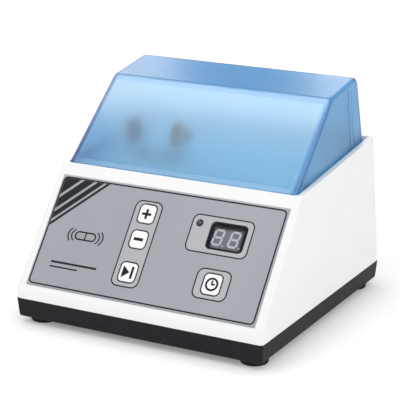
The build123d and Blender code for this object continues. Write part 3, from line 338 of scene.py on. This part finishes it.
def module_face():
    """Face of the display block: paler behind the digits and darker towards its border, where shade is painted in."""
    m, nt, b = new_mat("display_face")
    dx = maths(nt, "ABSOLUTE", along(nt, (1, 0, 0), -51.9))
    ds = maths(nt, "ABSOLUTE", along(nt, (0, SY, SZ), 102 * SY - 27 * SZ - 62.6))
    d = maths(nt, "MAXIMUM", maths(nt, "MULTIPLY", dx, 1 / 12.0), maths(nt, "MULTIPLY", ds, 1 / 8.2))
    # painted shade: the face darkens towards its border, as in the recess behind the lens
    border_painted_shade = span(nt, d, 0.0, 1.0, 0.72, 1.08, smooth=True)
    base = ramp(nt, border_painted_shade, [(0.0, (0.190, 0.195, 0.212)), (1.0, (0.028, 0.030, 0.036))])
    nt.links.new(mix(nt, span(nt, noise(nt, 900, 2), 0.0, 0.25), base, (0.10, 0.10, 0.11), "MULTIPLY"), b.inputs["Base Color"])
    nt.links.new(base, b.inputs["Base Color"])
    nt.links.new(span(nt, noise(nt, 700, 2), 0.55, 0.7, 0.3, 0.7), b.inputs["Roughness"])
    bump(nt, b, noise(nt, 3000, 2), 0.04, 0.0001)
    b.inputs["Specular IOR Level"].default_value = 0.15
    return m


def lamp():
    m, nt, b = new_mat("lamp_lens")
    nt.links.new(ramp(nt, noise(nt, 300, 2), [(0.3, (0.036, 0.037, 0.044)), (0.7, (0.046, 0.047, 0.054))]), b.inputs["Base Color"])
    nt.links.new(span(nt, noise(nt, 400, 2), 0.22, 0.30, 0.3, 0.7), b.inputs["Roughness"])
    bump(nt, b, noise(nt, 900, 2), 0.02, 0.0001)
    b.inputs["Coat Weight"].default_value = 0.2
    return m


def clear_glass():
    m, nt, b = new_mat("clear_glass")
    nt.links.new(ramp(nt, noise(nt, 200, 2), [(0.3, (0.80, 0.86, 0.84)), (0.7, (0.84, 0.90, 0.88))]), b.inputs["Base Color"])
    nt.links.new(span(nt, noise(nt, 200, 2), 0.02, 0.06, 0.3, 0.7), b.inputs["Roughness"])
    b.inputs["Transmission Weight"].default_value = 1.0
    return m


M["lid"] = frosted_blue()
M["window"] = smoked()
M["module"] = module_face()
M["lamp"] = lamp()
M["glass"] = clear_glass()

DRESS = {
    "white": ["housing_shell"], "deck": ["chamber_deck"], "black": ["base_tray"],
    "rubber": ["rubber_feet", "isolators", "lid_pads"],
    "panel": ["overlay_panel"], "key": ["key_plus", "key_minus", "key_start", "key_mode"],
    "bezel": ["inlet_socket", "rocker_housing", "power_rocker", "fuse_drawer", "key_switches", "board_chips",
              "cooling_fan", "power_parts"],
    "jaw": ["fixed_jaw"], "jaw_blue": ["moving_jaw_pad"], "module": ["display_module"], "segment": ["digit_segments"],
    "board": ["control_board", "power_board"],
    "steel": ["base_screws", "housing_screws", "motor_can", "motor_bracket", "motor_screws", "arm_cap_screws",
              "lid_magnet", "swash_hub"],
    "bright": ["hinge_pins", "motor_bearings", "motor_shaft", "jaw_pin", "jaw_spring", "anchor_spring"],
    "alloy": ["arm_cap", "end_bells", "heat_sink"], "fork": ["mixing_arm", "moving_jaw", "slot_bezel", "deck_plug"],
    "iron": ["field_stack", "armature_core", "transformer"],
    "brass": ["brush_holders", "inlet_pins"], "copper": ["field_coils", "armature_windings", "commutator"],
    "carbon": ["carbon_brushes"], "jacket": ["internal_leads"],
    "lid": ["lid_shell"], "window": ["display_window"], "lamp": ["status_led"], "glass": ["reed_switch"],
}
for key, names in DRESS.items():
    for n in names:
        o = NODE[n]
        o.data.materials.clear()
        o.data.materials.append(M[key])

# ------------------------------------------------------------------ mesh helpers
def obj(name, bm, mat, body, smooth=False):
    me = bpy.data.meshes.new(name)
    bmesh.ops.recalc_face_normals(bm, faces=bm.faces[:])
    bm.to_mesh(me)
    bm.free()
    if smooth:
        for p in me.polygons:
            p.use_smooth = True
    o = bpy.data.objects.new(name, me)
    scene.collection.objects.link(o)
    o.data.materials.append(mat)
    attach(o, body)
    return o


def arc_rect(x0, x1, y0, y1, r, k=8):
    """Outline of a rectangle with rounded corners, anticlockwise."""
    r = max(0.01, min(r, (x1 - x0) / 2, (y1 - y0) / 2))
    pts = []
    for cx, cy, a0 in ((x1 - r, y1 - r, 0), (x0 + r, y1 - r, 90), (x0 + r, y0 + r, 180), (x1 - r, y0 + r, 270)):
        for i in range(k + 1):
            a = math.radians(a0 + 90 * i / k)
            pts.append((cx + r * math.cos(a), cy + r * math.sin(a)))
    return pts


def circle(x, s, r, k=36):
    return [(x + r * math.cos(2 * math.pi * i / k), s + r * math.sin(2 * math.pi * i / k)) for i in range(k)]


def ring_into(bm, outer, inner, n0, n1, place):
    """A closed frame between two outlines with the same number of points."""
    k = len(outer)
    v = [[bm.verts.new(place(p[0], p[1], n)) for p in loop] for loop, n in ((outer, n0), (outer, n1), (inner, n1), (inner, n0))]
    for a in range(4):
        b = (a + 1) % 4
        for i in range(k):
            j = (i + 1) % k
            bm.faces.new((v[a][i], v[a][j], v[b][j], v[b][i]))


def slab_into(bm, loop, n0, n1, place):
    """A flat plate with this outline."""
    k = len(loop)
    lo = [bm.verts.new(place(p[0], p[1], n0)) for p in loop]
    hi = [bm.verts.new(place(p[0], p[1], n1)) for p in loop]
    for i in range(k):
        j = (i + 1) % k
        bm.faces.new((lo[i], lo[j], hi[j], hi[i]))
    bm.faces.new(hi)
    bm.faces.new(lo[::-1])


def plate_into(bm, loops, n0, n1, place):
    """A flat plate whose first outline is the rim and the others are holes."""
    flat = [Vector((p[0], p[1], 0)) for lp in loops for p in lp]
    tris = tessellate_polygon([[Vector((p[0], p[1], 0)) for p in lp] for lp in loops])
    lo = [bm.verts.new(place(p.x, p.y, n0)) for p in flat]
    hi = [bm.verts.new(place(p.x, p.y, n1)) for p in flat]
    for t in tris:
        try:
            bm.faces.new([hi[i] for i in t])
            bm.faces.new([lo[i] for i in reversed(t)])
        except ValueError:
            pass
    base = 0
    for lp in loops:
        k = len(lp)
        for i in range(k):
            a, b = base + i, base + (i + 1) % k
            bm.faces.new((lo[a], lo[b], hi[b], hi[a]))
        base += k


def line_loop(x0, x1, y0, y1, r, w):
    return arc_rect(x0 - w / 2, x1 + w / 2, y0 - w / 2, y1 + w / 2, r + w / 2), arc_rect(
        x0 + w / 2, x1 - w / 2, y0 + w / 2, y1 - w / 2, max(0.05, r - w / 2))


# ------------------------------------------------------------------ print on the panel film
TOP = 0.20          # outer surface of the film
INK = 0.035
KTOP = 0.50         # outer surface of the keys
KEY_R = 3.0
KEYS = {"key_plus": (-14.5, 71.5, 12.5, 13.6), "key_minus": (-14.6, 51.6, 12.4, 12.9),
        "key_start": (-14.4, 26.4, 13.0, 14.1), "key_mode": (52.0, 28.7, 13.3, 14.7)}
LENS = (37.9, 66.3, 53.8, 74.1)
LED = (28.4, 71.4)

bm = bmesh.new()
o_, i_ = line_loop(-91.0, 90.7, 6.0, 90.15, 3.2, 1.1)
ring_into(bm, o_, i_, TOP - 0.01, TOP + INK, face)
obj("panel_border_line", bm, M["ink"], "housing")

GROUPS = {"keys": (-25.5, -3.9, 15.5, 81.2, 5.2), "display": (22.7, 70.5, 50.2, 77.8, 4.6), "mode": (38.9, 64.9, 17.6, 39.4, 5.0)}
bm = bmesh.new()
for x0, x1, s0, s1, r in GROUPS.values():
    o_, i_ = line_loop(x0, x1, s0, s1, r, 0.95)
    ring_into(bm, o_, i_, TOP - 0.01, TOP + INK, face)
obj("key_group_lines", bm, M["ink"], "housing")


def key_hole(name, grow):
    x, s, w, h = KEYS[name]
    return arc_rect(x - w / 2 - grow, x + w / 2 + grow, s - h / 2 - grow, s + h / 2 + grow, KEY_R + grow)


bm = bmesh.new()
for name in KEYS:
    ring_into(bm, key_hole(name, 1.04), key_hole(name, 0.30), TOP - 0.01, TOP + INK, face)
ring_into(bm, circle(*LED, 2.75), circle(*LED, 2.0), TOP - 0.01, TOP + INK, face)
o_, i_ = arc_rect(LENS[0] - 0.35, LENS[1] + 0.35, LENS[2] - 0.35, LENS[3] + 0.35, 3.55), arc_rect(
    LENS[0] - 0.1, LENS[1] + 0.1, LENS[2] - 0.1, LENS[3] + 0.1, 3.3)
ring_into(bm, o_, i_, TOP - 0.01, TOP + INK, face)
obj("key_outlines", bm, M["ink"], "housing")

# paler fields inside the groups
FIELD = 0.012
bm = bmesh.new()
x0, x1, s0, s1, r = GROUPS["keys"]
plate_into(bm, [arc_rect(x0 + 0.3, x1 - 0.3, s0 + 0.3, s1 - 0.3, r - 0.3)] + [key_hole(n, 0.6) for n in ("key_plus", "key_minus", "key_start")],
           TOP - 0.01, TOP + FIELD, face)
x0, x1, s0, s1, r = GROUPS["mode"]
plate_into(bm, [arc_rect(x0 + 0.3, x1 - 0.3, s0 + 0.3, s1 - 0.3, r - 0.3), key_hole("key_mode", 0.6)], TOP - 0.01, TOP + FIELD, face)
x0, x1, s0, s1, r = GROUPS["display"]
plate_into(bm, [arc_rect(x0 + 0.3, x1 - 0.3, s0 + 0.3, s1 - 0.3, r - 0.3),
                arc_rect(LENS[0] - 0.2, LENS[1] + 0.2, LENS[2] - 0.2, LENS[3] + 0.2, 3.4), circle(*LED, 2.4)],
           TOP - 0.01, TOP + FIELD, face)
obj("group_fields", bm, M["panel_light"], "housing")

# signs on the keys
x, s = -14.7, 71.3
a, t = 3.8, 0.95
pl = [(x - t, s - a), (x + t, s - a), (x + t, s - t), (x + a, s - t), (x + a, s + t), (x + t, s + t), (x + t, s + a), (x - t, s + a),
      (x - t, s + t), (x - a, s + t), (x - a, s - t), (x - t, s - t)]
bm = bmesh.new()
slab_into(bm, pl, KTOP - 0.01, KTOP + INK, face)
obj("plus_sign", bm, M["ink"], "plus_key")
x, s = -14.7, 51.7
bm = bmesh.new()
slab_into(bm, arc_rect(x - 3.8, x + 3.8, s - 1.15, s + 1.15, 0.3, 4), KTOP - 0.01, KTOP + INK, face)
obj("minus_sign", bm, M["ink"], "minus_key")
# start and stop: a triangle and a bar
x, s = -14.6, 26.4
bm = bmesh.new()
slab_into(bm, [(x - 4.3, s - 4.6), (x + 1.5, s), (x - 4.3, s + 4.6)], KTOP - 0.01, KTOP + INK, face)
slab_into(bm, arc_rect(x + 2.5, x + 4.4, s - 4.6, s + 4.6, 0.3, 4), KTOP - 0.01, KTOP + INK, face)
obj("start_stop_sign", bm, M["ink"], "start_key")
# mode: a clock face with two hands
x, s = 52.0, 28.6
bm = bmesh.new()
ring_into(bm, circle(x, s, 5.0, 44), circle(x, s, 3.5, 44), KTOP - 0.01, KTOP + INK, face)
slab_into(bm, arc_rect(x - 0.6, x + 0.6, s - 0.6, s + 2.9, 0.2, 3), KTOP - 0.01, KTOP + INK, face)
slab_into(bm, arc_rect(x + 0.55, x + 2.6, s - 0.6, s + 0.6, 0.2, 3), KTOP - 0.01, KTOP + INK, face)
obj("mode_sign", bm, M["ink"], "mode_key")

# dark mask under the window, round the display block
bm = bmesh.new()
plate_into(bm, [arc_rect(LENS[0] - 0.05, LENS[1] + 0.05, LENS[2] - 0.05, LENS[3] + 0.05, 3.2), arc_rect(40.2, 64.0, 55.2, 72.4, 1.6)],
           -0.885, -0.815, face)
obj("display_mask", bm, M["mask"], "housing")

# ------------------------------------------------------------------ plain ornament on the left of the film
# slanted bands that narrow away from the corner
bm = bmesh.new()
x0, s1 = -90.3, 89.5
for a, b_ in ((0.9, 13.6), (16.6, 25.0), (27.8, 33.4), (35.8, 38.6)):
    slab_into(bm, [(x0 + a, s1), (x0, s1 - a), (x0, s1 - b_), (x0 + b_, s1)], TOP - 0.01, TOP + INK, face)
obj("corner_bands", bm, M["ink_slate"], "housing")

# a plain sign of a shaken capsule, where the film carries its title
bm = bmesh.new()
cx_, cs_ = -57.5, 47.0
o_, i_ = line_loop(cx_ - 8.4, cx_ + 8.4, cs_ - 2.9, cs_ + 2.9, 2.9, 1.15)
ring_into(bm, o_, i_, TOP - 0.01, TOP + INK, face)
slab_into(bm, arc_rect(cx_ - 0.55, cx_ + 0.55, cs_ - 2.6, cs_ + 2.6, 0.05, 2), TOP - 0.01, TOP + INK, face)
for sg in (-1, 1):
    for rr, hh in ((11.6, 38), (14.6, 34)):
        arc = []
        for rad, order in ((rr + 0.55, 1), (rr - 0.55, -1)):
            seq = [(cx_ + sg * rad * math.cos(math.radians(t_)) * 1.0, cs_ + rad * 0.62 * math.sin(math.radians(t_)))
                   for t_ in [(-hh + 2 * hh * i / 12) * order for i in range(13)]]
            arc += seq
        slab_into(bm, arc, TOP - 0.01, TOP + INK, face)
obj("capsule_sign", bm, M["ink"], "housing")

# two plain rules in the lower corner
bm = bmesh.new()
slab_into(bm, arc_rect(-78.5, -40.0, 23.6, 25.2, 0.5, 4), TOP - 0.01, TOP + INK, face)
slab_into(bm, arc_rect(-78.5, -55.0, 20.2, 21.3, 0.4, 4), TOP - 0.01, TOP + INK, face)
obj("plain_rules", bm, M["ink_slate"], "housing")

# ------------------------------------------------------------------ stage and light
bm = bmesh.new()
bmesh.ops.create_grid(bm, x_segments=2, y_segments=2, size=8.0)
me = bpy.data.meshes.new("floor")
bm.to_mesh(me); bm.free()
floor = bpy.data.objects.new("floor", me)
scene.collection.objects.link(floor)
fm, nt, b = new_mat("floor_pale")
b.inputs["Base Color"].default_value = (0.90, 0.90, 0.90, 1)
b.inputs["Roughness"].default_value = 0.7
b.inputs["Specular IOR Level"].default_value = 0.1
b.inputs["Emission Color"].default_value = (1, 1, 1, 1)
dist = nt.nodes.new("ShaderNodeVectorMath")
dist.operation = "LENGTH"
nt.links.new(coords(nt), dist.inputs[0])
nt.links.new(span(nt, dist.outputs["Value"], 0.20, 0.48, 0.36, 1.6, smooth=True), b.inputs["Emission Strength"])
me.materials.append(fm)

world = bpy.data.worlds.new("world")
scene.world = world
world.use_nodes = True
wn = world.node_tree
bg = wn.nodes["Background"]
bg.inputs["Color"].default_value = (1.0, 1.0, 1.0, 1)
bg.inputs["Strength"].default_value = 0.66
bg2 = wn.nodes.new("ShaderNodeBackground")
bg2.inputs["Color"].default_value = (1, 1, 1, 1)
bg2.inputs["Strength"].default_value = 1.02
lp = wn.nodes.new("ShaderNodeLightPath")
mx = wn.nodes.new("ShaderNodeMixShader")
thru = wn.nodes.new("ShaderNodeMath")
thru.operation = "MAXIMUM"
wn.links.new(lp.outputs["Is Camera Ray"], thru.inputs[0])
wn.links.new(lp.outputs["Is Transmission Ray"], thru.inputs[1])
wn.links.new(thru.outputs[0], mx.inputs["Fac"])
wn.links.new(bg.outputs[0], mx.inputs[1])
wn.links.new(bg2.outputs[0], mx.inputs[2])
wn.links.new(mx.outputs[0], wn.nodes["World Output"].inputs["Surface"])


def area(name, loc, aim, size, power, color=(1, 1, 1)):
    l = bpy.data.lights.new(name, "AREA")
    l.shape = "RECTANGLE"
    l.size, l.size_y = size
    l.energy = power
    l.color = color
    o = bpy.data.objects.new(name, l)
    scene.collection.objects.link(o)
    o.location = loc
    o.rotation_mode = "QUATERNION"
    o.rotation_quaternion = (Vector(aim) - Vector(loc)).to_track_quat("-Z", "Y")
    o.visible_camera = False
    return o


def card(name, loc, aim, size, radiance):
    """A reflector that only shows as gloss, as a white board beside the object does."""
    o = area(name, loc, aim, size, radiance * math.pi * size[0] * size[1])
    o.visible_diffuse = False
    o.visible_transmission = False
    o.visible_volume_scatter = False
    return o


area("top_soft", (-0.2, -0.2, 1.6), (0, 0, 0.08), (1.5, 1.5), 7.0)
area("front_left", (-0.9, -1.4, 0.8), (0, 0, 0.08), (0.9, 0.9), 4.0)
area("right_strip", (1.2, -0.6, 0.7), (0, 0, 0.1), (0.3, 1.0), 3.4)
card("board_right", (0.62, 0.06, 0.72), (0.085, 0.0, 0.14), (0.40, 0.5), 3.0)
card("board_high", (0.34, -0.12, 0.70), (0.085, 0.0, 0.14), (0.25, 0.3), 2.0)
card("board_top", (-0.10, -0.006, 0.34), (-0.10, -0.006, 0.0), (0.40, 0.042), 11.0)
card("board_back_left", (-0.38, 0.33, 0.38), (-0.07, 0.045, 0.167), (0.26, 0.30), 2.0)
card("board_back_right", (0.0, 0.38, 0.38), (0.07, 0.045, 0.167), (0.20, 0.30), 2.0)
